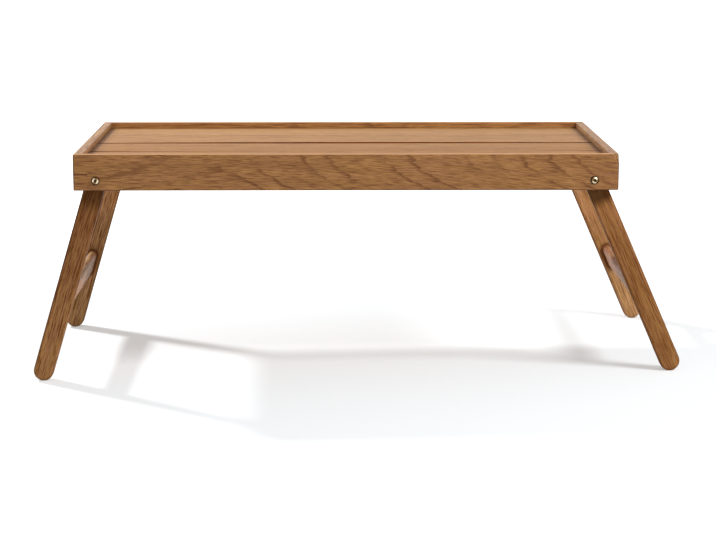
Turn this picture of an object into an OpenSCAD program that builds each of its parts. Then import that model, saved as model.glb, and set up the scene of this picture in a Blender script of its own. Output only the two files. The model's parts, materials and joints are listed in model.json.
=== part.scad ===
// Folding bed tray in oak: a mitred frame round a boarded deck, on two leg frames that swing in under it.
// It stands on a level floor with both leg frames open against the end rails.

/* [Tray frame] */
// Length of the tray over its end rails
tray_l = 600; // [560:5:720]
// Width of the tray over its front and back rails
tray_w = 330; // [240:5:420]
// Thickness of the four rails
rail_t = 10; // [9:0.5:14]
// Rounding along the long edges of the rails
rail_edge_r = 1.2; // [0.6:0.1:2]
// Rounding of the upright outer corners
corner_r = 2; // [1:0.5:4]
// Thickness of the key let into each mitred corner
key_t = 2; // [1.5:0.1:3]
// Length of a key along each rail
key_reach = 16; // [10:0.5:17]
// Height of the middle of the keys above the bottom of the rails
key_z = 18; // [8:0.5:20]

/* [Deck] */
// Depth of the deck below the rim
deck_drop = 7; // [3:0.5:20]
// Thickness of the deck boards
board_t = 9; // [7:0.5:14]
// Rounding along the top edges of the boards
board_edge_r = 1.2; // [0.5:0.1:2]
// Open joint between the two back boards
back_joint = 0.4; // [0.3:0.1:5]
// Open joint in the middle of the deck
middle_joint = 4; // [0.5:0.5:6]
// Open joint between the two front boards
front_joint = 1.5; // [0.5:0.5:5]
// Thickness of the tongues round the boards
tongue_t = 3; // [2:0.5:4]
// How far a tongue reaches into its groove
tongue_bite = 4.5; // [3:0.5:6]
// Room between a folded leg and the underside of the deck
fold_room = 1.7; // [0.5:0.1:8]

/* [Leg frames] */
// Width of a leg
leg_w = 22.3; // [18:0.1:34]
// Thickness of a leg
leg_t = 15; // [14:0.5:20]
// Distance from the pivot to the middle of the round foot
leg_reach = 226; // [200:1:250]
// Rounding along the edges of a leg
leg_edge_r = 3; // [1:0.5:4.5]
// Room between the round top of a left leg and its end rail
left_room = 3.65; // [1:0.05:10]
// Room between the round top of a right leg and its end rail
right_room = 5.65; // [1:0.05:10]
// Width of the slat that ties two legs together
slat_w = 30; // [22:1:50]
// Thickness of that slat
slat_t = 10; // [8:0.5:16]
// Distance from the pivot to the middle of the slat
slat_at = 151; // [80:1:180]
// Width of the slat's round-ended tenons
tenon_w = 20; // [12:1:26]
// Thickness of the tenons
tenon_t = 6; // [4:0.5:9]
// Length of the tenons
tenon_l = 8; // [5:0.5:12]

/* [Pivot screws] */
// Diameter of a screw
screw_d = 5; // [4:0.5:6]
// How far a screw stops short of the inner end of its insert
screw_short = 1; // [0.5:0.5:4]
// Diameter of the domed head
head_d = 9.5; // [8:0.5:13]
// Height of the domed head
head_h = 2.75; // [2:0.25:4]
// Height of the upright rim under the dome
head_rim = 0.4; // [0.2:0.1:1]
// Width across the flats of the hexagon socket
socket_w = 3; // [2:0.5:4]
// Depth of the hexagon socket
socket_depth = 1.6; // [1:0.1:1.8]
// Diameter of the washer between rail and leg
washer_d = 15; // [11:0.5:20]
// Thickness of that washer
washer_t = 1.4; // [1:0.1:2]
// Outer diameter of the threaded insert in the leg
insert_d = 8; // [7.5:0.5:10]
// Length of the insert
insert_l = 12; // [8:0.5:14]

/* [Hidden] */
$fn = 48;
oak = "#b3804f";
pale_oak = "#c39766";
dark_oak = "#6f4524";
brass = "#c8a45a";

// Clearances
glue_play = 0.1;
edge_play = 0.3;
pivot_play = 0.075;
side_play = 0.05;
head_play = 0.15;
stop_play = 0.15;
over = 1;

// Heights in the tray, from the bottom of its rails: the folded legs lie flush with that bottom
pivot_z = leg_w / 2;
tongue_z = leg_w + fold_room + board_t / 2;
rail_h = leg_w + fold_room + board_t + deck_drop;

// Boards, counted from the back
inner_l = tray_l - 2 * rail_t;
inner_w = tray_w - 2 * rail_t;
joints = [edge_play, back_joint, middle_joint, front_joint, edge_play];
board_count = 4;
board_w = (inner_w - sum_to(joints, len(joints))) / board_count;
board_l = inner_l - 2 * edge_play;

// Legs, from the middle of the tray
leg_y = tray_w / 2 - rail_t - washer_t - 2 * side_play - leg_t / 2;

// Angle at which a leg's outer edge comes to rest on the rounded bottom edge of the end rail
left_angle = open_angle(left_room);
right_angle = open_angle(right_room);

// Feet in the tray's own frame, and the slope at which all four stand level
left_foot = foot_at(-1);
right_foot = foot_at(1);
slope = atan2(right_foot[1] - left_foot[1], right_foot[0] - left_foot[0]);
lift = leg_w / 2 - turned(left_foot)[1];
shift = -(turned(left_foot)[0] + turned(right_foot)[0]) / 2;

function sum_to(list, n) = n == 0 ? 0 : list[n - 1] + sum_to(list, n - 1);

function open_angle(room) =
    let (across = leg_w / 2 + room + rail_edge_r)
    let (down = pivot_z - rail_edge_r)
    let (reach = leg_w / 2 + rail_edge_r + stop_play)
    acos(reach / norm([across, down])) - atan2(down, across);

function inset_of(side) = rail_t + leg_w / 2 + room_of(side);
function room_of(side) = side < 0 ? left_room : right_room;
function angle_of(side) = side < 0 ? left_angle : right_angle;
function pivot_x(side) = side * (tray_l / 2 - inset_of(side));

function foot_at(side) = [
    pivot_x(side) + side * leg_reach * sin(angle_of(side)),
    pivot_z - leg_reach * cos(angle_of(side))
];

// A point of the tray's long section, turned by the slope
function turned(p) = [
    p[0] * cos(slope) + p[1] * sin(slope),
    p[1] * cos(slope) - p[0] * sin(slope)
];

// From the tray's own frame to the floor it stands on
module in_room() {
    translate([shift, 0, lift])
        rotate([0, slope, 0])
            children();
}

// A leg frame about its pivot, hanging down before it is opened: side is -1 left, 1 right
module in_leg_frame(side) {
    in_room()
        translate([pivot_x(side), 0, pivot_z])
            rotate([0, -side * angle_of(side), 0])
                children();
}

// One end of a leg frame, with the front as drawn and the back turned round: end is -1 front, 1 back
module at_end(end) {
    rotate([0, 0, end > 0 ? 180 : 0])
        children();
}

// Rectangle about its middle, with round corners
module soft_rect(w, h, r) {
    square([w - 2 * r, h], center = true);
    square([w, h - 2 * r], center = true);
    for (x = [-1, 1], y = [-1, 1])
        translate([x * (w / 2 - r), y * (h / 2 - r)])
            circle(r);
}

// Slot shape with half-round ends, long side upright
module slot_2d(long, wide) {
    square([wide, long - wide], center = true);
    for (y = [-1, 1])
        translate([0, y * (long - wide) / 2])
            circle(d = wide);
}

// Section drawn in width and height, pulled out to a length along X about the middle
module along_x(length) {
    rotate([90, 0, 90])
        linear_extrude(length, center = true)
            children();
}

// Section drawn in X and Z, pulled out along Y from one place to another
module along_y(from, to) {
    translate([0, to, 0])
        rotate([90, 0, 0])
            linear_extrude(to - from)
                children();
}

// Rails

// Section of a rail with its outer face at 0, and the groove for the deck in its inner face
module rail_section() {
    difference() {
        translate([rail_t / 2, rail_h / 2])
            soft_rect(rail_t, rail_h, rail_edge_r);
        translate([rail_t - tongue_bite - glue_play, tongue_z - tongue_t / 2 - glue_play])
            square([tongue_bite + glue_play + over, tongue_t + 2 * glue_play]);
    }
}

// Triangle of a key seen from above, with its corner at the origin
module key_plan(x, y) {
    polygon([[0, 0], [x, 0], [0, y]]);
}

// The tray's outline from above
module tray_plan() {
    soft_rect(tray_l, tray_w, corner_r);
}

// A mitred rail along X with its outer face at -reach from the middle
module rail(length, reach) {
    difference() {
        intersection() {
            translate([0, -reach, 0])
                along_x(length)
                    rail_section();
            translate([0, -reach, 0])
                linear_extrude(rail_h)
                    polygon([
                        [-length / 2, 0], [length / 2, 0],
                        [length / 2 - rail_t, rail_t], [-length / 2 + rail_t, rail_t]
                    ]);
        }
        for (side = [0, 1])
            mirror([side, 0, 0])
                translate([-length / 2, -reach, key_z - key_t / 2 - glue_play / 2])
                    linear_extrude(key_t + glue_play)
                        key_plan(key_reach + glue_play, key_reach + glue_play);
    }
}

// Long rail: end is -1 front, 1 back
module long_rail(end) {
    color(oak)
        in_room()
            difference() {
                intersection() {
                    rotate([0, 0, end > 0 ? 180 : 0])
                        rail(tray_l, tray_w / 2);
                    linear_extrude(rail_h)
                        tray_plan();
                }
                for (side = [-1, 1])
                    translate([pivot_x(side), 0, pivot_z])
                        at_end(end)
                            along_y(-tray_w / 2 - over, -tray_w / 2 + rail_t + over)
                                circle(d = screw_d + 2 * pivot_play);
            }
}

// End rail: side is -1 left, 1 right
module end_rail(side) {
    color(oak)
        in_room()
            intersection() {
                rotate([0, 0, side * 90])
                    rail(tray_w, tray_l / 2);
                linear_extrude(rail_h)
                    tray_plan();
            }
}

// Thin key let into a corner from outside, flush with both rails
module corner_key(side, end) {
    color(dark_oak)
        in_room()
            translate([0, 0, key_z - key_t / 2])
                linear_extrude(key_t)
                    intersection() {
                        tray_plan();
                        translate([side * tray_l / 2, end * tray_w / 2])
                            key_plan(-side * key_reach, -end * key_reach);
                    }
}

// Deck

// Near edge of a board, measured from the back inner face
function board_back(n) = sum_to(joints, n) + (n - 1) * board_w;

// Section of a board between its back edge at 0 and its front edge at -board_w
module board_section(n) {
    gap = joints[n];
    difference() {
        union() {
            translate([-board_w / 2, tongue_z])
                soft_rect(board_w, board_t, board_edge_r);
            translate([-board_w - gap - tongue_bite, tongue_z - tongue_t / 2])
                square([board_w / 2 + gap + tongue_bite, tongue_t]);
            if (n == 1)
                translate([-board_w / 2, tongue_z - tongue_t / 2])
                    square([board_w / 2 + edge_play + tongue_bite, tongue_t]);
        }
        if (n > 1)
            translate([-tongue_bite - glue_play, tongue_z - tongue_t / 2 - glue_play])
                square([tongue_bite + glue_play + over, tongue_t + 2 * glue_play]);
    }
}

// Board n of the deck, with tongues on its ends that stop short of the long rails
module deck_board(n) {
    color(pale_oak)
        in_room()
            translate([0, inner_w / 2 - board_back(n), 0]) {
                along_x(board_l)
                    board_section(n);
                along_x(board_l + 2 * edge_play + 2 * tongue_bite)
                    translate([-board_w + tongue_bite + over, tongue_z - tongue_t / 2])
                        square([board_w - 2 * tongue_bite - 2 * over, tongue_t]);
            }
}

// Leg frames

// Right half of a leg's section, to be turned about the middle line
module half_leg_section() {
    intersection() {
        soft_rect(leg_w, leg_t, leg_edge_r);
        translate([0, -leg_t / 2])
            square([leg_w / 2, leg_t]);
    }
}

// Round end of a leg, above the level of its centre
module leg_end() {
    rotate([90, 0, 0])
        rotate_extrude(angle = 180)
            half_leg_section();
}

// Front leg about its pivot, outer face towards -Y: hole for the insert outside, mortise inside
module leg_body() {
    difference() {
        union() {
            translate([0, 0, -leg_reach])
                linear_extrude(leg_reach)
                    soft_rect(leg_w, leg_t, leg_edge_r);
            leg_end();
            translate([0, 0, -leg_reach])
                rotate([0, 180, 0])
                    leg_end();
        }
        along_y(-leg_t / 2 - over, -leg_t / 2 + insert_l + glue_play)
            circle(d = insert_d + glue_play);
        translate([0, 0, -slat_at])
            along_y(leg_t / 2 - tenon_l - glue_play, leg_t / 2 + over)
                slot_2d(tenon_w + glue_play, tenon_t + glue_play);
    }
}

module leg(side, end) {
    color(oak)
        in_leg_frame(side)
            at_end(end)
                translate([0, -leg_y, 0])
                    leg_body();
}

// Slat with round edges between the two legs of a frame
module stretcher(side) {
    half = leg_y - leg_t / 2;
    color(oak)
        in_leg_frame(side)
            translate([0, 0, -slat_at]) {
                along_y(-half, half)
                    slot_2d(slat_w, slat_t);
                along_y(-half - tenon_l, half + tenon_l)
                    slot_2d(tenon_w, tenon_t);
            }
}

// Pivot screws, washers and inserts, from the outer face of the long rail

// Places along the screw, measured inwards from that face
washer_at = rail_t + side_play;
insert_at = rail_t + washer_t + 2 * side_play;
screw_l = insert_at + insert_l - screw_short + head_play;

// Puts what is drawn upright, with its outer end up, on the pivot's line
module on_pivot(side, end) {
    in_leg_frame(side)
        at_end(end)
            translate([0, -tray_w / 2, 0])
                rotate([90, 0, 0])
                    children();
}

// Domed head as half a section
module head_section() {
    rise = head_h - head_rim;
    dome_r = (head_d * head_d / 4 + rise * rise) / (2 * rise);
    intersection() {
        translate([0, head_h - dome_r])
            circle(dome_r);
        square([head_d / 2, head_h]);
    }
}

module pivot_screw(side, end) {
    tip = screw_d / 6;
    color(brass)
        on_pivot(side, end)
            difference() {
                union() {
                    translate([0, 0, head_play])
                        rotate_extrude()
                            head_section();
                    translate([0, 0, head_play - screw_l + tip])
                        cylinder(d = screw_d, h = screw_l - tip + head_rim);
                    translate([0, 0, head_play - screw_l])
                        cylinder(d1 = screw_d - 2 * tip, d2 = screw_d, h = tip);
                }
                translate([0, 0, head_play + head_h - socket_depth])
                    cylinder(d = socket_w / cos(30), h = socket_depth + over, $fn = 6);
            }
}

module washer(side, end) {
    color(brass)
        on_pivot(side, end)
            translate([0, 0, -washer_at - washer_t])
                difference() {
                    cylinder(d = washer_d, h = washer_t);
                    translate([0, 0, -over])
                        cylinder(d = screw_d + 2 * pivot_play, h = washer_t + 2 * over);
                }
}

// Insert with shallow rings cut round it
module insert(side, end) {
    ring_pitch = 2;
    ring_deep = 0.4;
    wall_r = insert_d / 2;
    color(brass)
        on_pivot(side, end)
            translate([0, 0, -insert_at - insert_l])
                difference() {
                    cylinder(r = wall_r, h = insert_l);
                    translate([0, 0, -over])
                        cylinder(d = screw_d + 2 * side_play, h = insert_l + 2 * over);
                    for (z = [ring_pitch : ring_pitch : insert_l - ring_pitch])
                        translate([0, 0, z])
                            difference() {
                                cylinder(r = wall_r + over, h = ring_pitch / 2);
                                translate([0, 0, -over])
                                    cylinder(r = wall_r - ring_deep, h = ring_pitch / 2 + 2 * over);
                            }
                }
}

long_rail(-1);  // front_rail
long_rail(1);  // back_rail
end_rail(-1);  // left_end_rail
end_rail(1);  // right_end_rail
corner_key(-1, -1);  // front_left_key
corner_key(1, -1);  // front_right_key
corner_key(-1, 1);  // back_left_key
corner_key(1, 1);  // back_right_key
deck_board(1);  // deck_board_1
deck_board(2);  // deck_board_2
deck_board(3);  // deck_board_3
deck_board(4);  // deck_board_4
leg(-1, -1);  // front_left_leg
leg(-1, 1);  // back_left_leg
stretcher(-1);  // left_stretcher
leg(1, -1);  // front_right_leg
leg(1, 1);  // back_right_leg
stretcher(1);  // right_stretcher
pivot_screw(-1, -1);  // front_left_pivot_screw
pivot_screw(-1, 1);  // back_left_pivot_screw
pivot_screw(1, -1);  // front_right_pivot_screw
pivot_screw(1, 1);  // back_right_pivot_screw
washer(-1, -1);  // front_left_washer
washer(-1, 1);  // back_left_washer
washer(1, -1);  // front_right_washer
washer(1, 1);  // back_right_washer
insert(-1, -1);  // front_left_insert
insert(-1, 1);  // back_left_insert
insert(1, -1);  // front_right_insert
insert(1, 1);  // back_right_insert
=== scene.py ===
import json
import math

import bmesh
import bpy
from mathutils import Matrix, Vector


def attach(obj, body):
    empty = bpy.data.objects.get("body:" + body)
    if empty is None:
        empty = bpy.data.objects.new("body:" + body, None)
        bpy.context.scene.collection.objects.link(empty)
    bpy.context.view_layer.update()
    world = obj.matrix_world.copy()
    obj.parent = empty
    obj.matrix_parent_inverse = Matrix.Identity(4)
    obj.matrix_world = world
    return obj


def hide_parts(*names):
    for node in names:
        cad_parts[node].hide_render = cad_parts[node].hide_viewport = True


# Folding bed tray in oak. Everything is in metres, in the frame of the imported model.
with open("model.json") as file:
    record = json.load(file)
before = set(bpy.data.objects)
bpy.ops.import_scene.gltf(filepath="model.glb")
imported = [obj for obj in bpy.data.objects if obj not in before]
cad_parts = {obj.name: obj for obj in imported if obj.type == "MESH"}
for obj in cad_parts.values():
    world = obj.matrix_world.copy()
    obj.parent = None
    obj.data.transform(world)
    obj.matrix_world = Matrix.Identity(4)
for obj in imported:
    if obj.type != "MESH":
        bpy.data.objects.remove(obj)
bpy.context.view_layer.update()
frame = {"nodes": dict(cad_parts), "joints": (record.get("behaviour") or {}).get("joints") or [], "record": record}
nodes = frame["nodes"]
mm = 0.001
tiny = 1e-7  # points closer than this are one
sharpFrom = math.radians(50)  # edges that bend more than this stay sharp
print("frame loaded,", len(nodes), "nodes")

# The tray slopes a little, and each leg frame leans about its own pivot
deckMount = next(m for m in frame["record"]["mounts"] if m["name"] == "deck_face")
slope = math.atan2(deckMount["axis"][0], deckMount["axis"][2])
trayFrame = Matrix.Rotation(slope, 4, "Y")
legFrames = {}
for joint in frame["joints"]:
    lean = math.radians(joint["range_deg"][1] - 90) * -joint["axis"][1]
    pivot = Matrix.Translation(joint["pos_m"])
    legFrames[joint["child"]] = pivot @ Matrix.Rotation(slope + lean, 4, "Y")


def ownBox(node, place):
    # lowest and highest corner of a node, measured square to its own frame
    back = place.inverted()
    points = [back @ v.co for v in nodes[node].data.vertices]
    return [Vector([pick(p[i] for p in points) for i in range(3)]) for pick in (min, max)]


# Small tools that the pieces share; camera and light come further down


def newPiece(name, bm, place, body, replaces):
    # puts a finished bmesh in the room, in some nodes' stead, and hands it to its body
    bmesh.ops.recalc_face_normals(bm, faces=bm.faces[:])
    mesh = bpy.data.meshes.new(name)
    bm.to_mesh(mesh)
    bm.free()
    mesh.transform(place)
    mesh.shade_smooth()
    mesh.set_sharp_from_angle(angle=sharpFrom)
    piece = bpy.data.objects.new(name, mesh)
    bpy.context.collection.objects.link(piece)
    flat = piece.modifiers.new("flatFaces", "WEIGHTED_NORMAL")
    flat.keep_sharp = True
    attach(piece, body)
    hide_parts(*replaces)
    return piece


def pullOut(bm, way):
    # draws a flat shape out into a solid
    made = bmesh.ops.extrude_face_region(bm, geom=bm.faces[:])["geom"]
    moved = [g for g in made if isinstance(g, bmesh.types.BMVert)]
    bmesh.ops.translate(bm, verts=moved, vec=way)


def sectionBar(outline, roundAt, radius, segments, start, end):
    # a section in y and z with some corners rounded, pulled out along x
    bm = bmesh.new()
    corners = [bm.verts.new((start, y, z)) for y, z in outline]
    bm.faces.new(corners)
    if roundAt:
        bmesh.ops.bevel(
            bm, geom=[corners[i] for i in roundAt], offset=radius, offset_type="OFFSET",
            segments=segments, profile=0.5, affect="VERTICES", material=-1,
        )
    pullOut(bm, (end - start, 0, 0))
    return bm


def cutOff(bm, point, normal):
    # saws off what lies beyond the plane and closes the cut
    everything = bm.verts[:] + bm.edges[:] + bm.faces[:]
    bmesh.ops.bisect_plane(
        bm, geom=everything, dist=tiny, plane_co=point, plane_no=normal, clear_outer=True
    )
    rim = [e for e in bm.edges if e.is_boundary]
    if rim:
        bmesh.ops.holes_fill(bm, edges=rim)


def booleanWith(bm, others, operation="DIFFERENCE"):
    # an exact boolean between one shape and others, which are used up
    shapes = []
    for shape in [bm] + others:
        mesh = bpy.data.meshes.new("sawing")
        bmesh.ops.recalc_face_normals(shape, faces=shape.faces[:])
        shape.to_mesh(mesh)
        shape.free()
        shapes.append(bpy.data.objects.new("sawing", mesh))
        bpy.context.collection.objects.link(shapes[-1])
    for tool in shapes[1:]:
        cut = shapes[0].modifiers.new("cut", "BOOLEAN")
        cut.operation = operation
        cut.solver = "EXACT"
        cut.object = tool
    result = bmesh.new()
    result.from_object(shapes[0], bpy.context.evaluated_depsgraph_get())
    for shape in shapes:
        bpy.data.meshes.remove(shape.data)
    bmesh.ops.remove_doubles(result, verts=result.verts[:], dist=tiny)
    return result


# Materials


def feed(tree, socket, value):
    if isinstance(value, bpy.types.NodeSocket):
        tree.links.new(value, socket)
    else:
        socket.default_value = value


def feedAll(tree, sockets, values):
    for key, value in values.items():
        feed(tree, sockets[key], value)


def addNode(tree, kind, inputs=None, **settings):
    made = tree.nodes.new(kind)
    for key, value in settings.items():
        setattr(made, key, value)
    feedAll(tree, made.inputs, inputs or {})
    return made


def calc(tree, operation, *values):
    made = addNode(tree, "ShaderNodeMath", dict(enumerate(values)), operation=operation)
    return made.outputs[0]


def vectorCalc(tree, operation, *values):
    made = addNode(tree, "ShaderNodeVectorMath", dict(enumerate(values)), operation=operation)
    return made.outputs["Value" if operation in ("LENGTH", "DOT_PRODUCT") else "Vector"]


def partsOf(tree, vector):
    return addNode(tree, "ShaderNodeSeparateXYZ", {0: vector}).outputs


def mixColour(tree, factor, a, b):
    sockets = {0: factor, 6: a, 7: b}
    made = addNode(tree, "ShaderNodeMix", sockets, data_type="RGBA", clamp_factor=True)
    return made.outputs[2]


def layer(tree, below, mask, strength, above):
    # one colour over another, where the mask says
    return mixColour(tree, calc(tree, "MULTIPLY", mask, strength), below, above)


def between(tree, value, low, high, toLow=0.0, toHigh=1.0):
    # a smooth step from low to high
    ends = dict(enumerate((value, low, high, toLow, toHigh)))
    made = addNode(tree, "ShaderNodeMapRange", ends, interpolation_type="SMOOTHSTEP")
    return made.outputs[0]


def stretchedNoise(tree, vector, seed, perMetre, detail=2.0, roughness=0.5):
    # noise with so many waves a metre along the grain and across it
    scaled = vectorCalc(tree, "MULTIPLY", vectorCalc(tree, "ADD", vector, seed), perMetre)
    noise = addNode(
        tree, "ShaderNodeTexNoise",
        {"Vector": scaled, "Scale": 1.0, "Detail": detail, "Roughness": roughness},
    )
    return noise.outputs["Fac"]


def ownVector(tree, place):
    # where a point lies in a piece's own frame
    room = addNode(tree, "ShaderNodeTexCoord")
    inputs = {
        "Vector": room.outputs["Object"], "Location": place.to_translation(),
        "Rotation": place.to_euler(),
    }
    return addNode(tree, "ShaderNodeMapping", inputs, vector_type="TEXTURE").outputs[0]


def emptyTree(owner):
    # the node tree of a new material or world, with nothing in it
    owner.use_nodes = True
    owner.node_tree.nodes.clear()
    return owner.node_tree


def newGroup(name, inputs, outputs):
    group = bpy.data.node_groups.new(name, "ShaderNodeTree")
    for way, sockets in (("INPUT", inputs), ("OUTPUT", outputs)):
        for label, (kind, default) in sockets.items():
            made = group.interface.new_socket(name=label, in_out=way, socket_type="NodeSocket" + kind)
            if default is not None:
                made.default_value = default
    return group, group.nodes.new("NodeGroupInput").outputs, group.nodes.new("NodeGroupOutput").inputs


def oakGrainGroup():
    # growth rings, fibre, pores and slow changes of tone; x runs along the grain
    group, given, out = newGroup(
        "oakGrain",
        {
            "Vector": ("Vector", None),
            "Seed": ("Vector", None),
            "Ring Width": ("Float", 0.003),
            "Heart Distance": ("Float", 0.1),
            "Heart Height": ("Float", 0.0),
            "Heart Slope": ("Float", 0.0),
            "Turn": ("Float", 0.0),
            "Slope Behind": ("Float", 0.0),
            "Year Seed": ("Float", 0.0),
            "Wander": ("Float", 0.004),
            "Jag": ("Float", 0.0006),
            "Fibre Slant": ("Float", 0.0),
            "Fibre Curve": ("Float", 0.0),
            "Fineness": ("Float", 1.0),
        },
        {
            "Rings": ("Float", None),
            "Fibre": ("Float", None),
            "Pores": ("Float", None),
            "Tone": ("Float", None),
            "Blotch": ("Float", None),
            "Hue": ("Float", None),
        },
    )
    place, seed = given["Vector"], given["Seed"]
    bend = stretchedNoise(group, place, seed, (4.0, 9.0, 9.0), 2.0)
    bendAside = stretchedNoise(group, place, seed, (3.0, 14.0, 14.0), 2.0)
    jag = stretchedNoise(group, place, seed, (30.0, 240.0, 240.0), 4.0, 0.65)
    along, deep, high = partsOf(group, place)
    # the fibre runs at a slant that may grow along the piece
    slant = calc(group, "MULTIPLY_ADD", along, given["Fibre Curve"], given["Fibre Slant"])
    drop = calc(group, "MULTIPLY_ADD", along, slant, high)
    fibreWay = addNode(group, "ShaderNodeCombineXYZ", {0: along, 1: deep, 2: drop}).outputs[0]
    finer = addNode(
        group, "ShaderNodeVectorMath", {0: fibreWay, "Scale": given["Fineness"]}, operation="SCALE"
    ).outputs[0]
    # distance from the heart of the tree, which wanders along the board and may come back
    # behind a turning point: that draws the arches of a flat-sawn board
    rounding = 30 * mm
    onward = calc(group, "SUBTRACT", along, given["Turn"])
    ahead = calc(group, "SMOOTH_MAX", onward, 0.0, rounding)
    behind = calc(group, "SMOOTH_MAX", calc(group, "MULTIPLY", onward, -1.0), 0.0, rounding)
    away = calc(group, "MULTIPLY_ADD", ahead, given["Heart Slope"], given["Heart Distance"])
    away = calc(group, "MULTIPLY_ADD", behind, given["Slope Behind"], away)
    away = calc(group, "ADD", away, deep)
    away = calc(group, "MULTIPLY_ADD", calc(group, "SUBTRACT", bend, 0.5), given["Wander"], away)
    aside = calc(group, "SUBTRACT", high, given["Heart Height"])
    aside = calc(group, "MULTIPLY_ADD", calc(group, "SUBTRACT", bendAside, 0.5), given["Wander"], aside)
    square = calc(group, "MULTIPLY_ADD", away, away, calc(group, "MULTIPLY", aside, aside))
    radius = calc(group, "SQRT", square)
    radius = calc(group, "MULTIPLY_ADD", calc(group, "SUBTRACT", jag, 0.5), given["Jag"], radius)
    turn = calc(group, "DIVIDE", radius, given["Ring Width"])
    year = calc(group, "FRACT", turn)
    # the porous spring wood starts sharply and fades into the summer wood
    rise = between(group, year, 0.0, 0.07)
    fall = between(group, year, 0.07, 0.34, 1.0, 0.0)
    yearNumber = calc(group, "ADD", calc(group, "FLOOR", turn), given["Year Seed"])
    strength = addNode(group, "ShaderNodeTexWhiteNoise", {"W": yearNumber}, noise_dimensions="1D")
    strong = between(group, strength.outputs["Value"], 0.1, 0.9, 0.15, 1.0)
    fading = stretchedNoise(group, place, seed, (14.0, 60.0, 60.0), 2.0)
    strong = calc(group, "MULTIPLY", strong, between(group, fading, 0.32, 0.6, 0.25, 1.0))
    rings = calc(group, "MULTIPLY", calc(group, "MULTIPLY", rise, fall), strong)
    fine = stretchedNoise(group, finer, seed, (24.0, 620.0, 620.0), 4.0, 0.65)
    hair = stretchedNoise(group, finer, seed, (50.0, 1250.0, 1250.0), 2.0)
    fibre = calc(group, "MULTIPLY_ADD", hair, 0.35, calc(group, "MULTIPLY", fine, 0.65))
    poreNoise = stretchedNoise(group, finer, seed, (90.0, 1400.0, 1400.0), 2.0)
    threshold = calc(group, "MULTIPLY_ADD", rings, -0.13, 0.66)
    pores = between(group, calc(group, "SUBTRACT", poreNoise, threshold), 0.0, 0.06)
    tone = stretchedNoise(group, fibreWay, seed, (4.0, 110.0, 110.0), 4.0, 0.6)
    blotch = stretchedNoise(group, place, seed, (22.0, 70.0, 70.0), 2.0)
    hue = stretchedNoise(group, finer, seed, (5.0, 150.0, 150.0), 3.0, 0.6)
    results = {
        "Rings": rings, "Fibre": fibre, "Pores": pores, "Tone": tone, "Blotch": blotch, "Hue": hue,
    }
    feedAll(group, out, results)
    return group


def wearAndLightMasksGroup():
    # Mask is 1 on rounded edges, which are worn and carry a painted highlight, Top on the
    # faces that look up, Under on those that look down; these place painted light and painted shade
    group, given, out = newGroup(
        "wearAndLightMasks", {"Width": ("Float", 0.0015), "Seed": ("Vector", None)},
        {"Mask": ("Float", None), "Top": ("Float", None), "Under": ("Float", None)},
    )
    rounded = addNode(group, "ShaderNodeBevel", {"Radius": given["Width"]}, samples=4)
    face = addNode(group, "ShaderNodeNewGeometry").outputs["True Normal"]
    room = addNode(group, "ShaderNodeTexCoord")
    patchy = stretchedNoise(group, room.outputs["Object"], given["Seed"], (60.0,) * 3, 3.0)
    facing = partsOf(group, face)[2]
    bent = between(group, vectorCalc(group, "DOT_PRODUCT", rounded.outputs[0], face), 0.999, 0.90)
    bent = calc(group, "MULTIPLY", bent, between(group, facing, -0.3, 0.2))  # edges that look down get no wear and no painted highlight
    results = {
        "Mask": calc(group, "MULTIPLY", bent, between(group, patchy, 0.3, 0.7, 0.3, 1.0)),
        "Top": between(group, facing, 0.5, 0.95),
        "Under": between(group, facing, -0.02, -0.35),
    }
    feedAll(group, out, results)
    return group


def fadeGroup():
    # a colour that changes slowly along a piece, or from its middle towards both ends; here it paints light and
    # shade
    group, given, out = newGroup(
        "fade",
        {
            "Vector": ("Vector", None),
            "Both Ends": ("Float", 0.0),
            "From": ("Float", 0.0),
            "To": ("Float", 0.1),
            "Start": ("Color", (1.0, 1.0, 1.0, 1.0)),
            "End": ("Color", (1.0, 1.0, 1.0, 1.0)),
        },
        {"Colour": ("Color", None)},
    )
    along = partsOf(group, given["Vector"])[0]
    other = calc(group, "MULTIPLY_ADD", given["Both Ends"], -2.0, 1.0)
    along = calc(group, "MAXIMUM", along, calc(group, "MULTIPLY", along, other))
    part = between(group, along, given["From"], given["To"])
    feed(group, out["Colour"], mixColour(group, part, given["Start"], given["End"]))
    return group


def cornerShadeGroup():
    # painted shade low on a rail's inner face, in the corner with the deck
    group, given, out = newGroup(
        "cornerShade",
        {
            "Vector": ("Vector", None),
            "Height": ("Float", 0.013),
            "Spread": ("Float", 0.004),
            "Face": ("Float", 0.0098),
            "Depth": ("Float", 0.0013),
            "Strength": ("Float", 0.75),
        },
        {"Mask": ("Float", None)},
    )
    deep, high = partsOf(group, given["Vector"])[1:]
    top = calc(group, "ADD", given["Height"], given["Spread"])
    low = between(group, high, given["Height"], top, given["Strength"], 0.0)
    inside = between(group, deep, calc(group, "SUBTRACT", given["Face"], given["Depth"]), given["Face"])
    feed(group, out["Mask"], calc(group, "MULTIPLY", low, inside))
    return group


legShadeSizes = {
    "thickTo": 1 * mm, "clearFrom": 5 * mm, "thick": 0.95,  # away from the slat
    "faceFrom": -2 * mm, "faceFull": -0.5 * mm,  # from the leg's inner face
    "edgeFrom": -2.4 * mm, "edgeFull": -0.4 * mm, "edge": 0.5,  # from its long edges
}


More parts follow.
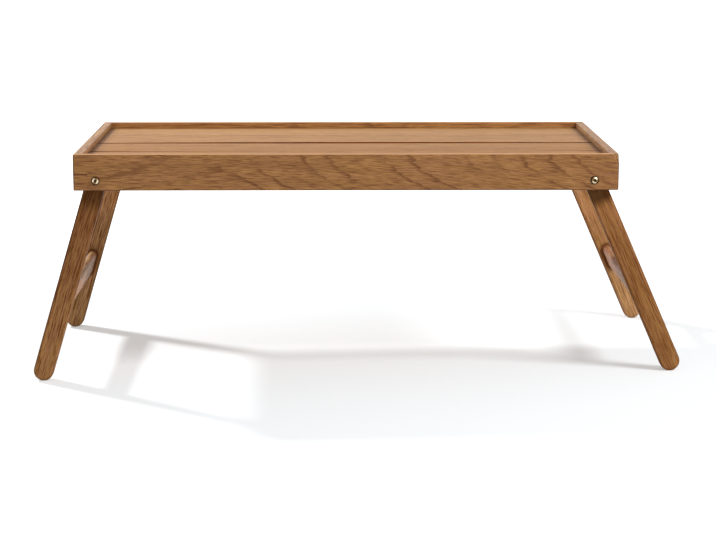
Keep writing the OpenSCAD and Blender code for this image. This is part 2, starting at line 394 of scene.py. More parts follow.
def legShadeGroup():
    # painted shade where the slat enters a leg and along the leg's long edges
    group, given, out = newGroup(
        "legShade",
        {
            "Vector": ("Vector", None),
            "Slat Centre": ("Vector", None),
            "Slat Straight": ("Float", 0.01),
            "Slat Radius": ("Float", 0.005),
            "Half Size": ("Vector", None),
            "Inner Side": ("Float", 1.0),
            "One Edge": ("Float", 1.0),
            "Other Edge": ("Float", -1.0),
        },
        {"Mask": ("Float", None)},
    )
    s = legShadeSizes
    along, deep, across = partsOf(group, given["Vector"])
    centre = partsOf(group, given["Slat Centre"])
    half = partsOf(group, given["Half Size"])
    away = calc(group, "ABSOLUTE", calc(group, "SUBTRACT", along, centre[0]))
    away = calc(group, "MAXIMUM", calc(group, "SUBTRACT", away, given["Slat Straight"]), 0.0)
    flat = addNode(
        group, "ShaderNodeCombineXYZ", {0: away, 1: calc(group, "SUBTRACT", across, centre[2])}
    ).outputs[0]
    away = calc(group, "SUBTRACT", vectorCalc(group, "LENGTH", flat), given["Slat Radius"])
    near = between(group, away, s["thickTo"], s["clearFrom"], s["thick"], 0.0)
    inside = calc(group, "SUBTRACT", calc(group, "MULTIPLY", deep, given["Inner Side"]), half[1])
    paintedShade = calc(group, "MULTIPLY", near, between(group, inside, s["faceFrom"], s["faceFull"]))
    beside = calc(
        group, "MAXIMUM", calc(group, "MULTIPLY", across, given["One Edge"]),
        calc(group, "MULTIPLY", across, given["Other Edge"]),
    )
    beside = calc(group, "SUBTRACT", beside, half[0])
    edge = between(group, beside, s["edgeFrom"], s["edgeFull"], 0.0, s["edge"])
    feed(group, out["Mask"], calc(group, "MAXIMUM", paintedShade, edge))
    return group


oakGrain = oakGrainGroup()
wearAndLightMasks = wearAndLightMasksGroup()
fade = fadeGroup()
cornerShade = cornerShadeGroup()
legShade = legShadeGroup()


def srgb(red, green, blue):
    # a colour as seen on screen, as the linear value that a socket takes
    seen = [c / 255 for c in (red, green, blue)]
    return [((c + 0.055) / 1.055) ** 2.4 if c > 0.04 else c / 12.92 for c in seen] + [1.0]


fibreTint = (0.8, 1.05, 1.3)  # how much a line of fibre shows in red, green and blue
toneTints = ("deep", "light", "dark", "poreAndShade", "topLightTint", "wornAndHighlit")  # looks that are shares of the tone


def tinted(tone, tint):
    return [c * t for c, t in zip(srgb(*tone), tint)] + [1.0]


def oakMaterial(name, place, look):
    # place is the piece's own frame: x along the grain, y into its thickness, z across its width
    material = bpy.data.materials.new(name)
    tree = emptyTree(material)
    own = ownVector(tree, place)
    heart = look["heart"]
    turnAt, slopeBehind = look["turn"] or (0.0, -heart[2])
    grainInputs = {
        "Vector": own, "Seed": look["seed"], "Ring Width": look["ringWidth"],
        "Heart Distance": heart[0], "Heart Height": heart[1], "Heart Slope": heart[2],
        "Turn": turnAt, "Slope Behind": slopeBehind, "Year Seed": look["yearSeed"],
        "Wander": look["wander"], "Jag": look["jag"], "Fibre Slant": look["slant"][0],
        "Fibre Curve": look["slant"][1], "Fineness": look["fineness"],
    }
    masks = addNode(tree, "ShaderNodeGroup", grainInputs, node_tree=oakGrain).outputs
    faces = addNode(tree, "ShaderNodeGroup", {"Seed": look["seed"]}, node_tree=wearAndLightMasks).outputs
    tints = {k: tinted(look["tone"], look[k]) for k in toneTints}
    # the ground tone, then rings, blotches, fibre and pores
    colour = mixColour(tree, between(tree, masks["Tone"], 0.35, 0.65), tints["deep"], tints["light"])
    mauve, honey = (*look["mauve"], 1.0), (*look["honey"], 1.0)
    hue = mixColour(tree, between(tree, masks["Hue"], 0.35, 0.65), mauve, honey)
    colour = vectorCalc(tree, "MULTIPLY", colour, hue)
    # slow fades: painted light and painted shade along the piece
    for change in look["fades"]:
        ends = {k: (*v, 1.0) if k in ("Start", "End") else v for k, v in change.items()}
        faded = addNode(tree, "ShaderNodeGroup", {"Vector": own, **ends}, node_tree=fade).outputs[0]
        if look["fadesUnder"]:
            faded = mixColour(tree, faces["Under"], (1.0, 1.0, 1.0, 1.0), faded)
        colour = vectorCalc(tree, "MULTIPLY", colour, faded)
    colour = layer(tree, colour, masks["Rings"], look["ringDepth"], tints["dark"])
    blotches = between(tree, masks["Blotch"], 0.55, 0.8)
    colour = layer(tree, colour, blotches, look["blotch"], tints["dark"])
    dim, clear = [[1 + way * look["fibre"] * f for f in fibreTint] + [1.0] for way in (-1, 1)]
    lines = mixColour(tree, between(tree, masks["Fibre"], 0.36, 0.58), dim, clear)
    colour = vectorCalc(tree, "MULTIPLY", colour, lines)
    colour = layer(tree, colour, masks["Pores"], look["pores"], tints["poreAndShade"])
    # what use has done to it, with painted light and shade: paler tops, worn edges with a painted highlight,
    # painted shade on undersides and in corners
    colour = layer(tree, colour, faces["Top"], look["topLight"], tints["topLightTint"])
    colour = layer(tree, colour, faces["Mask"], look["wearAndHighlight"], tints["wornAndHighlit"])
    colour = layer(tree, colour, faces["Under"], look["under"], tints["poreAndShade"])
    if look["paintedShade"]:
        paintedShadeInputs = {"Vector": own, **look["paintedShade"]["values"]}
        paintedShade = addNode(tree, "ShaderNodeGroup", paintedShadeInputs, node_tree=look["paintedShade"]["group"])
        colour = mixColour(tree, paintedShade.outputs[0], colour, tints["poreAndShade"])
    shader = addNode(tree, "ShaderNodeBsdfPrincipled", {"Base Color": colour})
    rough = calc(tree, "MULTIPLY_ADD", masks["Pores"], 0.2, look["roughness"])
    rough = calc(tree, "MULTIPLY_ADD", masks["Fibre"], 0.12, rough)
    feed(tree, shader.inputs["Roughness"], rough)
    shader.inputs["Specular IOR Level"].default_value = look["gloss"]
    # pores and spring wood lie low, and fibre stands up a little
    height = calc(tree, "MULTIPLY", masks["Fibre"], 0.35)
    height = calc(tree, "MULTIPLY_ADD", masks["Pores"], -1.0, height)
    height = calc(tree, "MULTIPLY_ADD", masks["Rings"], -0.3, height)
    relief = {"Strength": 0.5, "Distance": look["relief"], "Height": height}
    bump = addNode(tree, "ShaderNodeBump", relief)
    feed(tree, shader.inputs["Normal"], bump.outputs[0])
    addNode(tree, "ShaderNodeOutputMaterial", {"Surface": shader.outputs[0]})
    return material


oak = {
    "tone": (192, 137, 88),
    "deep": (0.93, 0.91, 0.90),
    "light": (1.06, 1.08, 1.10),
    "mauve": (0.98, 0.95, 1.06),  # multiplied with the tone where it is cool, and where it is warm
    "honey": (1.02, 1.03, 0.90),
    "dark": (0.54, 0.42, 0.30),
    # also the tint of the painted shade on undersides and in corners
    "poreAndShade": (0.42, 0.32, 0.24),
    # tint of worn edges, which also carry a painted highlight
    "wornAndHighlit": (1.25, 1.32, 1.45),
    "seed": (0.0, 0.0, 0.0),
    "ringWidth": 3.2 * mm,
    "heart": (0.1, 0.0, 0.0),  # distance from the face, height, slope along the grain
    "turn": None,  # where the arches turn, and the slope behind that point
    "yearSeed": 0.0,
    "wander": 6 * mm,
    "jag": 2.4 * mm,
    "slant": (0.0, 0.0),  # of the fibre, at the middle and its growth along the grain
    "ringDepth": 0.85,
    "blotch": 0.35,
    "fibre": 0.5,
    "fineness": 1.0,
    "pores": 0.6,
    # how much the worn edges are tinted, which also paints a highlight on them
    "wearAndHighlight": 0.3,
    "topLight": 0.0,  # painted light: how much paler the top faces are
    "topLightTint": (1.6, 1.8, 2.1),
    "under": 0.0,  # painted shade: how much darker the undersides are
    "fades": (),  # slow changes of tone along the piece, as painted light and painted shade
    "fadesUnder": False,  # True where they are on the undersides alone
    # painted shade in the corners of rails and round the slats of legs
    "paintedShade": None,
    "roughness": 0.42,
    "gloss": 0.3,
    "relief": 0.12 * mm,
}


def dress(piece, *materials):
    if piece.data.materials:
        piece.data.materials.clear()
    for material in materials:
        piece.data.materials.append(material)


# Rails: one section with a groove for the deck, mitred at both ends
railSizes = {
    "edgeRadius": 1.2 * mm, "cornerRadius": 2 * mm, "grooveDeep": 4.6 * mm, "grooveWide": 3.2 * mm,
    "keyPlay": 0.05 * mm, "holeRadius": 2.575 * mm, "holeSteps": 32, "over": 1 * mm, "steps": 5,
    "softWide": 7 * mm, "softTall": 14 * mm,
}
deckLow, deckHigh = ownBox("deck_board_2", trayFrame)
grooveMiddle = (deckLow.z + deckHigh.z) / 2


def railBar(length, thick, low, high, softEnd):
    s = railSizes
    groove = [grooveMiddle - s["grooveWide"] / 2, grooveMiddle + s["grooveWide"] / 2]
    bottom = thick - s["grooveDeep"]
    outline = [
        (0, low), (thick, low), (thick, groove[0]), (bottom, groove[0]),
        (bottom, groove[1]), (thick, groove[1]), (thick, high), (0, high),
    ]
    bm = sectionBar(outline, (0, 1, 6, 7), s["edgeRadius"], s["steps"], -length / 2, length / 2)
    for side in (-1, 1):
        corner = Vector((side * length / 2, 0, 0))
        cutOff(bm, corner, (side, 1, 0))  # mitre
        middle = corner + Vector((-side, 1, 0)) * s["cornerRadius"]
        for step in range(s["steps"]):
            turn = math.radians(45) * (step + 0.5) / s["steps"]
            out = Vector((side * math.sin(turn), -math.cos(turn), 0))
            cutOff(bm, middle + out * s["cornerRadius"], out)
    if softEnd:
        wide, tall = s["softWide"], s["softTall"]  # this corner has been knocked or sanded rounder
        top = Vector((softEnd * (length / 2 - wide), 0, high))
        cutOff(bm, top, Vector((softEnd * tall, -tall, wide)).normalized())
    return bm


def keySlot(length, side):
    # what a corner key takes out of a rail, reaching past the outside
    s = railSizes
    low, high = ownBox("front_left_key", trayFrame)
    reach = high.x - low.x + s["keyPlay"]
    end, over = length / 2, s["over"]
    plan = [(end - reach - over, -over), (end + over, -over), (end + over, reach + over)]
    bm = bmesh.new()
    corners = [bm.verts.new((side * x, y, low.z - s["keyPlay"])) for x, y in plan]
    bm.faces.new(corners)
    pullOut(bm, (0, 0, high.z - low.z + 2 * s["keyPlay"]))
    return bm


def screwHole(x, z, thick):
    s = railSizes
    bm = bmesh.new()
    place = Matrix.Translation((x, thick / 2, z)) @ Matrix.Rotation(math.radians(90), 4, "X")
    bmesh.ops.create_cone(
        bm, cap_ends=True, segments=s["holeSteps"], radius1=s["holeRadius"],
        radius2=s["holeRadius"], depth=thick + 2 * s["over"], matrix=place,
    )
    return bm


rails = {
    "front_rail": (0, "frontRailOak", "oak_long_rail"),
    "right_end_rail": (90, "rightEndRailOak", "oak_end_rail"),
    "back_rail": (180, "backRailOak", "oak_long_rail"),
    "left_end_rail": (270, "leftEndRailOak", "oak_end_rail"),
}
railLow, railHigh = ownBox("left_end_rail", trayFrame)
alongTheDeck = {  # painted shade, in the rail's own frame: up from the deck's top, just inside the inner face
    "group": cornerShade,
    "values": {
        "Height": deckHigh.z - (railLow.z + railHigh.z) / 2, "Spread": 4 * mm,
        "Face": railHigh.x - railLow.x - 0.2 * mm, "Strength": 0.75,
    },
}
# the front and back rails have painted light on their tops
railLooks = {
    "front_rail": {
        "heart": (0.20064, 0.024, -0.1), "turn": (-0.131, -0.035), "yearSeed": 94868.0,
        "ringWidth": 3 * mm, "wander": 3 * mm, "seed": (1.3, 0.4, 2.2), "tone": (162, 110, 61),
        "topLight": 0.9, "topLightTint": (1.8, 2.0, 2.3), "deep": (0.86, 0.84, 0.80),
        "light": (1.08, 1.10, 1.12), "fibre": 0.68, "blotch": 0.5, "ringDepth": 0.95,
        "slant": (0.05, 0.12), "fineness": 1.9,
    },
    "back_rail": {
        "heart": (0.13, 0.01, 0.07), "seed": (4.1, 2.4, 0.7), "tone": (172, 119, 68), "topLight": 0.5,
    },
    "left_end_rail": {
        "heart": (0.3, 0.02, 0.02), "seed": (7.7, 1.2, 3.1), "tone": (169, 123, 81),
        "paintedShade": alongTheDeck,
    },
    "right_end_rail": {
        "heart": (0.3, -0.02, -0.02), "seed": (2.9, 5.2, 6.4), "tone": (157, 114, 74),
        "paintedShade": alongTheDeck,
    },
}
softEnds = {"front_rail": 1, "right_end_rail": -1}
for node, (turn, name, slot) in rails.items():
    low, high = ownBox(node, trayFrame)
    middle = (low + high) / 2
    size = high - low
    longWay = max(size.x, size.y)
    thick = min(size.x, size.y)
    turned = Matrix.Rotation(math.radians(turn), 4, "Z")
    outer = Vector((middle.x, middle.y, 0)) + turned @ Vector((0, -thick / 2, 0))
    place = trayFrame @ Matrix.Translation(outer) @ turned
    cutters = [keySlot(longWay, side) for side in (-1, 1)]
    if slot == "oak_long_rail":
        pivots = [place.inverted() @ legFrames[body].to_translation() for body in legFrames]
        cutters += [screwHole(pivot.x, pivot.z, thick) for pivot in pivots]
    bar = booleanWith(railBar(longWay, thick, low.z, high.z, softEnds.get(node, 0)), cutters)
    piece = newPiece(name, bar, place, "tray", [node])
    grainPlace = place @ Matrix.Translation((0, 0, middle.z))
    # rails take painted shade on their undersides
    dress(piece, oakMaterial(name + "Finish", grainPlace, {**oak, "under": 0.6, **railLooks[node]}))
print("rails made")

# Deck boards: tongue in front, groove behind, and a tongue on each end
boardSizes = {
    "edgeRadius": 1.2 * mm, "steps": 5, "tongueThick": 3 * mm, "grooveWide": 3.2 * mm,
    "grooveDeep": 4.6 * mm, "play": 0.3 * mm, "over": 1 * mm, "slices": 24,
    "bendsAt": (4 * mm, 9 * mm, 18 * mm, 32 * mm), "bendWide": 30 * mm,  # from a board's edge
    "darkBelow": 0.25 * mm, "darkAbove": 0.5 * mm,  # what lies between is inside a joint
}
boardNodes = ["deck_board_%d" % n for n in range(1, 5)]
boardBoxes = [ownBox(n, trayFrame) for n in boardNodes]
tongueLong = boardBoxes[2][1].y - boardBoxes[1][0].y
boardWide = boardBoxes[3][1].y - ownBox("front_rail", trayFrame)[1].y - boardSizes["play"]
# how the dry boards have moved: the sag lowers the back edge or, below zero, lifts the front
# one, and the bow draws it forward or, below zero, back
boardWarps = [
    {"sag": 0.0, "ends": 0.0, "bow": 0.0, "middle": 0.0, "spread": 2},
    {"sag": -0.85 * mm, "ends": 0.0, "bow": 0.0, "middle": 0.01, "spread": 2},
    {"sag": 0.15 * mm, "ends": 0.0, "bow": 0.4 * mm, "middle": 0.01, "spread": 2},
    {"sag": 0.0, "ends": 0.5 * mm, "bow": -1.35 * mm, "middle": 0.03, "spread": 4},
]
boardLook = {
    "deep": (0.90, 0.88, 0.87), "light": (1.08, 1.10, 1.12), "ringWidth": 2.2 * mm, "ringDepth": 0.3,
    "fibre": 0.35, "blotch": 0.12, "gloss": 0.09,
    "fades": (  # painted shade towards both ends, beside the end rails, and painted light a little paler on the left
        {"Both Ends": 1.0, "From": 0.274, "To": 0.286, "End": (0.78, 0.76, 0.74)},
        {"Both Ends": 1.0, "From": 0.282, "To": 0.290, "End": (0.50, 0.44, 0.40)},
        {"From": -0.28, "To": 0.28, "End": (0.92, 0.93, 0.94)},
    ),
}
boardLooks = [
    {"seed": (1.9, 0.3, 5.5), "heart": (0.05, 0.4, 0.0), "tone": (184, 135, 86)},
    {"seed": (3.9, 2.3, 1.5), "heart": (0.05, 0.4, 0.004), "tone": (178, 127, 77)},
    {"seed": (5.2, 4.3, 3.5), "heart": (0.05, 0.4, 0.0), "tone": (170, 117, 62)},
    {"seed": (8.2, 6.3, 2.5), "heart": (0.05, 0.4, -0.003), "tone": (170, 117, 62)},
]
jointLook = {
    "tone": (130, 66, 16), "wearAndHighlight": 0.0, "gloss": 0.0,
    # painted shade: the joints grow dark towards both ends
    "fades": ({"Both Ends": 1.0, "From": 0.262, "To": 0.276, "End": (0.15, 0.13, 0.15)},),
}


def warpBoard(bm, warp, half, back, front):
    # moves one long edge of a board, most at the warp's middle
    lengthwise = [e for e in bm.edges if abs(e.verts[0].co.x - e.verts[1].co.x) > half]
    bmesh.ops.subdivide_edges(bm, edges=lengthwise, cuts=boardSizes["slices"])
    for inward in boardSizes["bendsAt"]:
        for edge, way in ((back, -1), (front, 1)):
            bmesh.ops.bisect_plane(
                bm, geom=bm.verts[:] + bm.edges[:] + bm.faces[:], dist=tiny,
                plane_co=(0, edge + way * inward, 0), plane_no=(0, 1, 0),
            )
    edge = back if warp["sag"] >= 0 else front
    for v in bm.verts:
        offMiddle = abs(v.co.x - warp["middle"]) / (half + abs(warp["middle"]))
        along = max(0.0, 1 - offMiddle ** warp["spread"])
        near = max(0.0, 1 - abs(v.co.y - edge) / boardSizes["bendWide"]) ** 2
        v.co.z += abs(warp["sag"]) * along * near * (1 if edge == front else -1)
        v.co.z -= warp["ends"] * (1 - along) * near
        v.co.y -= warp["bow"] * along * near


def deckBoard(index):
    s = boardSizes
    low, high = boardBoxes[index]
    first = index == 0
    back = high.y - (s["play"] + tongueLong if first else 0)
    front = back - boardWide
    middle = (low.z + high.z) / 2
    tongue = [middle - s["tongueThick"] / 2, middle + s["tongueThick"] / 2]
    groove = [middle - s["grooveWide"] / 2, middle + s["grooveWide"] / 2]
    outline = [
        (front, high.z), (front, tongue[1]), (low.y, tongue[1]),
        (low.y, tongue[0]), (front, tongue[0]), (front, low.z),
    ]
    if first:
        outline += [
            (back, low.z), (back, tongue[0]), (high.y, tongue[0]),
            (high.y, tongue[1]), (back, tongue[1]), (back, high.z),
        ]
    else:
        deep = back - s["grooveDeep"]
        outline += [
            (back, low.z), (back, groove[0]), (deep, groove[0]),
            (deep, groove[1]), (back, groove[1]), (back, high.z),
        ]
    half = (high.x - low.x) / 2 - s["play"] - tongueLong
    board = sectionBar(outline, (0, 5, 6, 11), s["edgeRadius"], s["steps"], -half, half)
    inner = [front + tongueLong + s["over"], back - tongueLong - s["over"]]
    strip = [
        (inner[0], tongue[1]), (inner[0], tongue[0]), (inner[1], tongue[0]), (inner[1], tongue[1]),
    ]
    ends = sectionBar(strip, (), 0, 1, -(high.x - low.x) / 2, (high.x - low.x) / 2)
    board = booleanWith(board, [ends], "UNION")
    board.normal_update()
    for face in board.faces:
        # what lies down inside a joint takes the dark joint finish
        depth = high.z - face.calc_center_median().z
        inside = s["darkBelow"] < depth < high.z - low.z - s["darkAbove"]
        face.material_index = 1 if inside and abs(face.normal.x) < 0.5 else 0
    warpBoard(board, boardWarps[index], half, back, front)
    return board


for index, node in enumerate(boardNodes):
    low, high = boardBoxes[index]
    name = "deckBoard%dOak" % (index + 1)
    middle = (low + high) / 2
    shift = Matrix.Translation((middle.x, 0, 0))
    piece = newPiece(name, deckBoard(index), trayFrame @ shift, "tray", [node])
    place = trayFrame @ Matrix.Translation(middle)
    look = {**oak, **boardLook, **boardLooks[index]}
    joint = oakMaterial(name + "JointFinish", place, {**look, **jointLook})
    dress(piece, oakMaterial(name + "Finish", place, look), joint)
print("deck made")

# Legs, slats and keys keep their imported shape
legLook = {
    "ringWidth": 3 * mm, "heart": (0.03, 0.25, 0.01), "ringDepth": 0.3, "gloss": 0.02, "wearAndHighlight": 0.0,
    "fineness": 1.6,
}
# the fades paint light and shade along each leg; the dark tops are painted shadow of the rails
legLooks = {
    "front_left_leg": {
        "seed": (1.1, 7.3, 0.5), "tone": (160, 110, 68), "fibre": 0.8,
        "fades": (
            {"From": -0.088, "To": -0.069, "Start": (0.58, 0.55, 0.46)},
            {"From": -0.08, "To": 0.1, "Start": (0.70, 0.63, 0.54)},
        ),
    },
    "back_left_leg": {
        "seed": (2.1, 3.3, 4.5), "tone": (187, 139, 92), "fibre": 0.75,
        "fades": (
            {"From": -0.045, "To": -0.012, "Start": (1.34, 1.24, 1.22)},
            {"From": -0.012, "To": 0.005, "End": (0.97, 0.94, 0.92)},
        ),
    },
    "front_right_leg": {
        "seed": (6.1, 1.3, 2.5), "tone": (171, 116, 69),
        "fades": (
            {"From": -0.091, "To": -0.078, "Start": (0.40, 0.40, 0.38)},
            {"From": -0.07, "To": 0.01, "End": (0.88, 0.86, 0.82)},
            {"From": 0.01, "To": 0.1, "End": (1.07, 1.10, 1.14)},
        ),
    },
    "back_right_leg": {
        "seed": (4.1, 5.3, 7.5), "tone": (197, 145, 100),
        "fades": (
            {"From": -0.055, "To": -0.045, "End": (1.12, 1.06, 0.92)},
            {"From": -0.020, "To": -0.008, "End": (0.83, 0.83, 0.80)},
            {"From": 0.018, "To": 0.035, "End": (1.12, 1.20, 1.38)},
        ),
    },
}
downGrain = Matrix.Rotation(math.radians(90), 4, "Y")  # grain runs down the leg


def shadeOfLeg(node, body, place, size):
    slatLow, slatHigh = ownBox(body.replace("leg_frame", "stretcher"), legFrames[body])
    radius = (slatHigh.x - slatLow.x) / 2
    front = "front" in node
    outer = -1.0 if "left" in node else 1.0
    return {
        "group": legShade,
        "values": {
            "Slat Centre": place.inverted() @ legFrames[body] @ ((slatLow + slatHigh) / 2),
            "Slat Straight": (slatHigh.z - slatLow.z) / 2 - radius,
            "Slat Radius": radius,
            "Half Size": size / 2,
            "Inner Side": 1.0 if front else -1.0,
            "One Edge": outer,
            "Other Edge": outer if front else -outer,
        },
    }


for node, look in legLooks.items():
    body = "left_leg_frame" if "left" in node else "right_leg_frame"
    low, high = ownBox(node, legFrames[body])
    place = legFrames[body] @ Matrix.Translation((low + high) / 2) @ downGrain
    paintedShade = shadeOfLeg(node, body, place, high - low)
    whole = {**oak, **legLook, **look, "paintedShade": paintedShade}
    dress(nodes[node], oakMaterial(node + "_finish", place, whole))

slatLook = {
    "ringWidth": 3 * mm, "heart": (0.3, 0.02, 0.0), "ringDepth": 0.2, "gloss": 0.08, "wearAndHighlight": 0.0,
}
slatLooks = {
    "left_stretcher": {  # painted light: paler on its inner face, which looks down, with painted shade there towards the back leg
        "seed": (3.3, 3.1, 0.2), "tone": (185, 137, 97), "fadesUnder": True,
        "fades": (
            {"From": 0.024, "To": 0.058, "Start": (1.95, 1.93, 1.96), "End": (0.90, 0.92, 1.04)},
            {"From": 0.055, "To": 0.074, "End": (0.78, 0.76, 0.70)},
        ),
    },
    "right_stretcher": {
        "seed": (0.3, 6.1, 4.2), "tone": (184, 132, 93),
        # painted shade: darker towards one end
        "fades": ({"From": 0.03, "To": 0.09, "End": (0.80, 0.76, 0.72)},),
    },
}
backGrain = Matrix.Rotation(math.radians(90), 4, "Z")  # grain runs from leg to leg
for node, look in slatLooks.items():
    body = "left_leg_frame" if "left" in node else "right_leg_frame"
    low, high = ownBox(node, legFrames[body])
    place = legFrames[body] @ Matrix.Translation((low + high) / 2) @ backGrain
    dress(nodes[node], oakMaterial(node + "_finish", place, {**oak, **slatLook, **look}))

keyTones = {
    "front_left_key": (118, 68, 28), "front_right_key": (160, 106, 66),
    "back_left_key": (184, 130, 82), "back_right_key": (184, 130, 82),
}
for node, tone in keyTones.items():
    low, high = ownBox(node, trayFrame)
    place = trayFrame @ Matrix.Translation((low + high) / 2)
    dress(nodes[node], oakMaterial(node + "_finish", place, {**oak, "tone": tone, "wearAndHighlight": 0.1}))
print("legs, slats and keys dressed")

# Pivot screws: domed head with a hexagon socket, plain shank with a chamfered tip
screwSizes = {
    "headHigh": 2.75 * mm, "rim": 0.4 * mm, "edge": 0.15 * mm, "shank": 2.5 * mm, "tip": 0.83 * mm,
    "socketFlats": 3 * mm, "socketDeep": 1.6 * mm, "steps": 64, "domeSteps": 10,
}
brassLook = {
    "pale": (252, 236, 204), "deep": (214, 186, 142),
    # painted dim reflection away from the highlights, and the painted dark of rim and socket
    "paintedDimBrass": (128, 98, 62), "paintedDarkBrass": (38, 26, 16),
    "darkRimFrom": 3.0 * mm, "darkRimFull": 3.7 * mm, "socketFrom": 2.0 * mm, "socketFull": 1.6 * mm,
    "paintedDarkStrength": 0.92, "rough": (0.2, 0.34), "rougher": 0.35,  # where the rim and socket are painted dark
    "highlightTurn": {"left": 170, "right": 45},  # the way of the painted highlights, in degrees
}


def paintedBrassLightGroup():
    # painted shade in the socket, a painted dark reflection round the rim of a screw head, and painted highlights
    # along one way across it
    group, given, out = newGroup(
        "paintedDarkBrass",
        {
            "Vector": ("Vector", None),
            "Highlight Way": ("Vector", None),
            "Rim From": ("Float", 0.003),
            "Rim Full": ("Float", 0.0037),
            "Socket From": ("Float", 0.002),
            "Socket Full": ("Float", 0.0016),
        },
        {"Painted Dark": ("Float", None), "Bright": ("Float", None)},
    )
    flat = vectorCalc(group, "MULTIPLY", given["Vector"], (1.0, 1.0, 0.0))
    away = vectorCalc(group, "LENGTH", flat)
    rim = between(group, away, given["Rim From"], given["Rim Full"])
    socket = between(group, away, given["Socket Full"], given["Socket From"], 1.0, 0.0)
    feed(group, out["Painted Dark"], calc(group, "MAXIMUM", rim, socket))
    along = vectorCalc(group, "DOT_PRODUCT", vectorCalc(group, "NORMALIZE", flat), given["Highlight Way"])
    feed(group, out["Bright"], between(group, calc(group, "ABSOLUTE", along), 0.45, 0.9))
    return group


paintedDarkBrass = paintedBrassLightGroup()


def brassMaterial(name, place=None, highlightTurn=0.0):
    # with a screw's frame, the head takes painted shade in the socket, a painted dark reflection round its rim,
    # and painted highlights along one way
    look = brassLook
    material = bpy.data.materials.new(name)
    tree = emptyTree(material)
    room = addNode(tree, "ShaderNodeTexCoord")
    smudge = stretchedNoise(tree, room.outputs["Object"], (0.4, 0.1, 0.7), (300.0,) * 3, 3.0)
    colour = mixColour(tree, smudge, srgb(*look["deep"]), srgb(*look["pale"]))
    rough = between(tree, smudge, 0.2, 0.8, *look["rough"])
    if place:
        highlightWay = (math.cos(math.radians(highlightTurn)), math.sin(math.radians(highlightTurn)), 0.0)
        marks = {
            "Vector": ownVector(tree, place), "Highlight Way": highlightWay, "Rim From": look["darkRimFrom"],
            "Rim Full": look["darkRimFull"], "Socket From": look["socketFrom"],
            "Socket Full": look["socketFull"],
        }
        paintedDark, paintedHighlight = addNode(tree, "ShaderNodeGroup", marks, node_tree=paintedDarkBrass).outputs
        colour = mixColour(tree, paintedHighlight, srgb(*look["paintedDimBrass"]), colour)
        colour = layer(tree, colour, paintedDark, look["paintedDarkStrength"], srgb(*look["paintedDarkBrass"]))
        rough = calc(tree, "MULTIPLY_ADD", paintedDark, look["rougher"], rough)
    shader = addNode(tree, "ShaderNodeBsdfPrincipled", {"Base Color": colour, "Roughness": rough})
    shader.inputs["Metallic"].default_value = 1.0
    addNode(tree, "ShaderNodeOutputMaterial", {"Surface": shader.outputs[0]})
    return material


def pivotScrew(radius, tip, top):
    # turned about z, with its outer end up
    s = screwSizes
    under = top - s["headHigh"]
    rimTop = under + s["rim"]
    rise = top - rimTop
    domeRadius = (radius ** 2 + rise ** 2) / (2 * rise)
    widest = math.asin(radius / domeRadius)
    profile = [(0, tip), (s["shank"] - s["tip"], tip), (s["shank"], tip + s["tip"])]
    profile += [(s["shank"], under), (radius - s["edge"], under), (radius, under + s["edge"])]
    for step in range(s["domeSteps"] + 1):
        turn = widest * (1 - step / s["domeSteps"])
        profile.append((domeRadius * math.sin(turn), top - domeRadius * (1 - math.cos(turn))))
    bm = bmesh.new()
    line = [bm.verts.new((x, 0, z)) for x, z in profile]
    edges = [bm.edges.new(pair) for pair in zip(line, line[1:])]
    bmesh.ops.spin(
        bm, geom=line + edges, cent=(0, 0, 0), axis=(0, 0, 1), angle=math.radians(360),
        steps=s["steps"], use_merge=True,
    )
    bmesh.ops.remove_doubles(bm, verts=bm.verts[:], dist=10 * tiny)
    socket = bmesh.new()
    deep = s["socketDeep"] + railSizes["over"]
    across = s["socketFlats"] / 2 / math.cos(math.radians(30))
    bmesh.ops.create_cone(
        socket, cap_ends=True, segments=6, radius1=across, radius2=across, depth=deep,
        matrix=Matrix.Translation((0, 0, top - s["socketDeep"] + deep / 2)),
    )
    return booleanWith(bm, [socket])


for end, turn in (("front", 90), ("back", -90)):
    railLow, railHigh = ownBox(end + "_rail", trayFrame)
    outside = railLow.y if end == "front" else railHigh.y
    for side in ("left", "right"):
        node = "%s_%s_pivot_screw" % (end, side)
        place = legFrames[side + "_leg_frame"] @ Matrix.Translation((0, outside, 0))
        place = place @ Matrix.Rotation(math.radians(turn), 4, "X")
        low, high = ownBox(node, place)
        name = "%s%sPivotScrew" % (end, side.capitalize())
        screw = pivotScrew(high.x, low.z, high.z)
        piece = newPiece(name, screw, place, side + "_leg_frame", [node])
        dress(piece, brassMaterial(name + "Brass", place, brassLook["highlightTurn"][side]))
brass = brassMaterial("brass")  # washers and inserts, without painted shade or highlights
for node in nodes:
    if node.endswith(("washer", "insert")):
        dress(nodes[node], brass)
print("brass made")

# Camera, from the photograph's own viewpoint
view = {
    "place": (-0.0251126, -2.3957221, 0.5314774),
    "turn": (79.62436, 0.74982, -0.83792),
    "lens": 103.006,
}
camera = bpy.data.objects.new("camera", bpy.data.cameras.new("camera"))
camera.location = view["place"]
camera.rotation_euler = [math.radians(a) for a in view["turn"]]
camera.data.lens = view["lens"]
camera.data.sensor_width = 36
bpy.context.collection.objects.link(camera)
bpy.context.scene.camera = camera

# Light: a small lamp behind on the left, soft ones on the right and low in front, and a pale room
trayMiddle = Vector((0, 0, 0.15))
lamps = {
    "backLeftLamp": {"way": (-1.01, 0.94, 1.0), "far": 2.9, "size": 0.3, "power": 54},
    "rightLamp": {"way": (1.01, -0.7, 1.0), "far": 2.6, "size": 0.8, "power": 31},
    "frontLamp": {"way": (0.1, -1.0, 0.2), "far": 2.6, "size": 1.0, "power": 6},
}
for name, lamp in lamps.items():
    way = Vector(lamp["way"]).normalized()
    data = bpy.data.lights.new(name, "AREA")
    data.shape = "DISK"
    data.size = lamp["size"]
    data.energy = lamp["power"]
    light = bpy.data.objects.new(name, data)
    light.location = trayMiddle + way * lamp["far"]
    light.rotation_euler = way.to_track_quat("Z", "Y").to_euler()
    bpy.context.collection.objects.link(light)

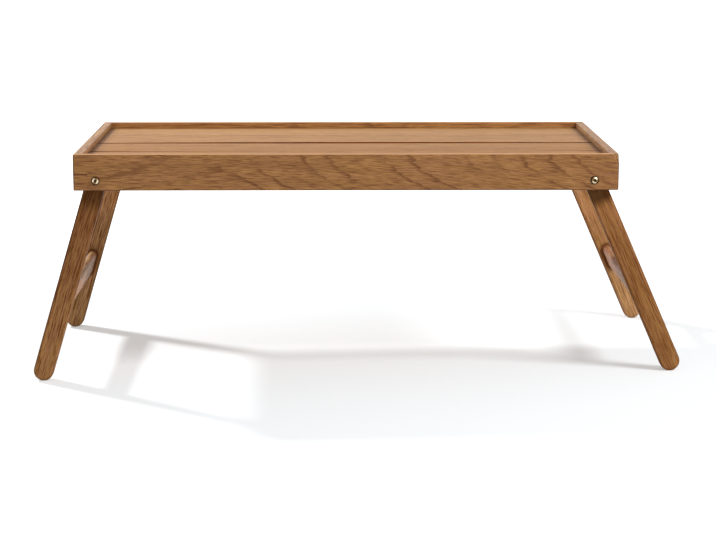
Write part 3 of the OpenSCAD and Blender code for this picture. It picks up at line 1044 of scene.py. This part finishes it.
roomLight = 0.25  # how strongly the pale room lights the tray


def seenDirectly(tree):
    path = addNode(tree, "ShaderNodeLightPath")
    both = calc(tree, "MAXIMUM", path.outputs["Is Camera Ray"], path.outputs["Is Glossy Ray"])
    return calc(tree, "MAXIMUM", both, path.outputs["Is Transmission Ray"])


world = bpy.data.worlds.new("paleRoom")
bpy.context.scene.world = world
tree = emptyTree(world)
strength = between(tree, seenDirectly(tree), 0.0, 1.0, roomLight, 1.0)
glow = addNode(tree, "ShaderNodeBackground", {"Color": (1, 1, 1, 1), "Strength": strength})
addNode(tree, "ShaderNodeOutputWorld", {"Surface": glow.outputs[0]})

floorSize = 30.0
bm = bmesh.new()
bmesh.ops.create_grid(bm, x_segments=1, y_segments=1, size=floorSize / 2)
floorMesh = bpy.data.meshes.new("floor")
bm.to_mesh(floorMesh)
bm.free()
floor = bpy.data.objects.new("floor", floorMesh)
bpy.context.collection.objects.link(floor)
paper = bpy.data.materials.new("whitePaper")
tree = emptyTree(paper)
floorLook = {
    "pale": (0.91, 0.955, 0.985, 1.0), "paintedDark": (0.55, 0.55, 0.55, 1.0), "lift": 0.38,
    "whiteFrom": 0.6, "whiteAt": 1.6,
}
seen = seenDirectly(tree)
colour = mixColour(tree, seen, floorLook["paintedDark"], floorLook["pale"])
matt = addNode(tree, "ShaderNodeBsdfDiffuse", {"Color": colour})
# the paper glows for the eye alone, and more so far away, where the lamps no longer reach
room = addNode(tree, "ShaderNodeTexCoord")
away = vectorCalc(tree, "LENGTH", room.outputs["Object"])
shown = between(tree, away, floorLook["whiteFrom"], floorLook["whiteAt"], floorLook["lift"], 1.0)
lift = addNode(
    tree, "ShaderNodeEmission",
    {"Color": (1, 1, 1, 1), "Strength": calc(tree, "MULTIPLY", seen, shown)},
)
both = addNode(tree, "ShaderNodeAddShader", {0: matt.outputs[0], 1: lift.outputs[0]})
# seen from below the paper is clear, so that the underside can be looked at
path = addNode(tree, "ShaderNodeLightPath")
behind = addNode(tree, "ShaderNodeNewGeometry").outputs["Backfacing"]
fromBelow = calc(tree, "MULTIPLY", path.outputs["Is Camera Ray"], behind)
clear = addNode(tree, "ShaderNodeBsdfTransparent")
oneSided = addNode(
    tree, "ShaderNodeMixShader", {0: fromBelow, 1: both.outputs[0], 2: clear.outputs[0]}
)
addNode(tree, "ShaderNodeOutputMaterial", {"Surface": oneSided.outputs[0]})
floor.data.materials.append(paper)

bpy.context.scene.view_settings.view_transform = "Standard"
